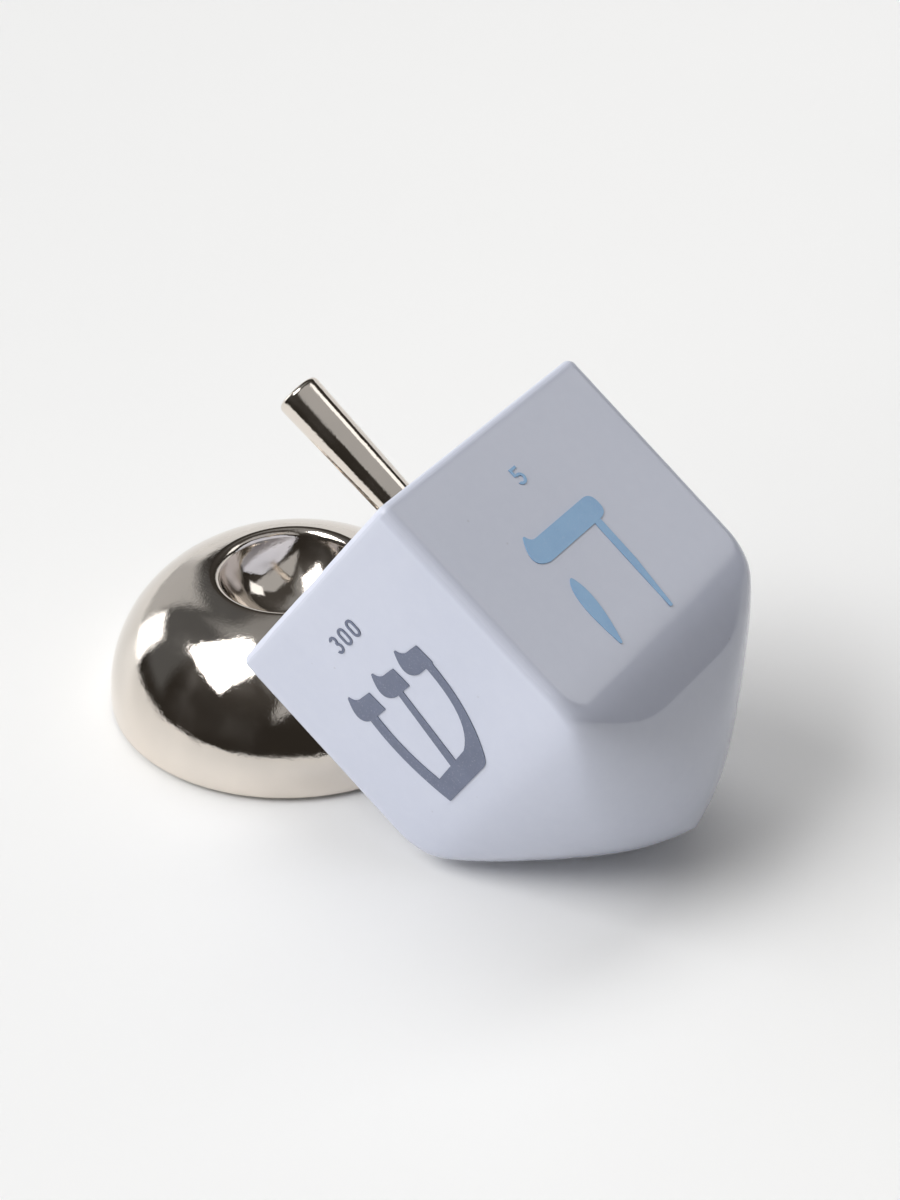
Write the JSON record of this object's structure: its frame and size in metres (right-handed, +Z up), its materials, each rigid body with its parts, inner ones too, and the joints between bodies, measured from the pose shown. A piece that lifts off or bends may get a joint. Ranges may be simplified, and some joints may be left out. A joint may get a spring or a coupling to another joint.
{
  "type": "dreidel with stand",
  "caption": "Hollow porcelain spinning top with square sides, a bowed point and a plated stem, leaning on the plated dome stand whose cup holds its point.",
  "frame": {"origin": "centre of the stand's felt base, on the table", "axes": "+Z up; +X from the stand towards the dreidel's point, which lies on the table as well"},
  "size_m": [0.147, 0.0808, 0.0871],
  "materials": {
    "porcelain": "clear gloss glaze over pale blue-grey porcelain",
    "plating": "mirror plating, warm silver",
    "cement": "matte",
    "slate_transfer": "fired slate blue transfer, gloss",
    "sky_transfer": "fired sky blue transfer, gloss",
    "board": "plain grey-brown board",
    "felt": "dark felt"
  },
  "bodies": {
    "stand": {"stand_dome": "plating", "stand_base_board": "board", "stand_felt": "felt"},
    "dreidel": {"porcelain_body": "porcelain", "stem": "plating", "stem_cement": "cement", "letter_nun": "sky_transfer", "letter_gimel": "slate_transfer", "letter_hei": "sky_transfer", "letter_shin": "slate_transfer", "numeral_nun": "sky_transfer", "numeral_gimel": "slate_transfer", "numeral_hei": "sky_transfer", "numeral_shin": "slate_transfer"}
  },
  "joints": [
    {"name": "dreidel_lift", "type": "slide", "parent": "stand", "child": "dreidel", "axis": [0, 0, 1], "range_m": [0, 0.08]}
  ]
}
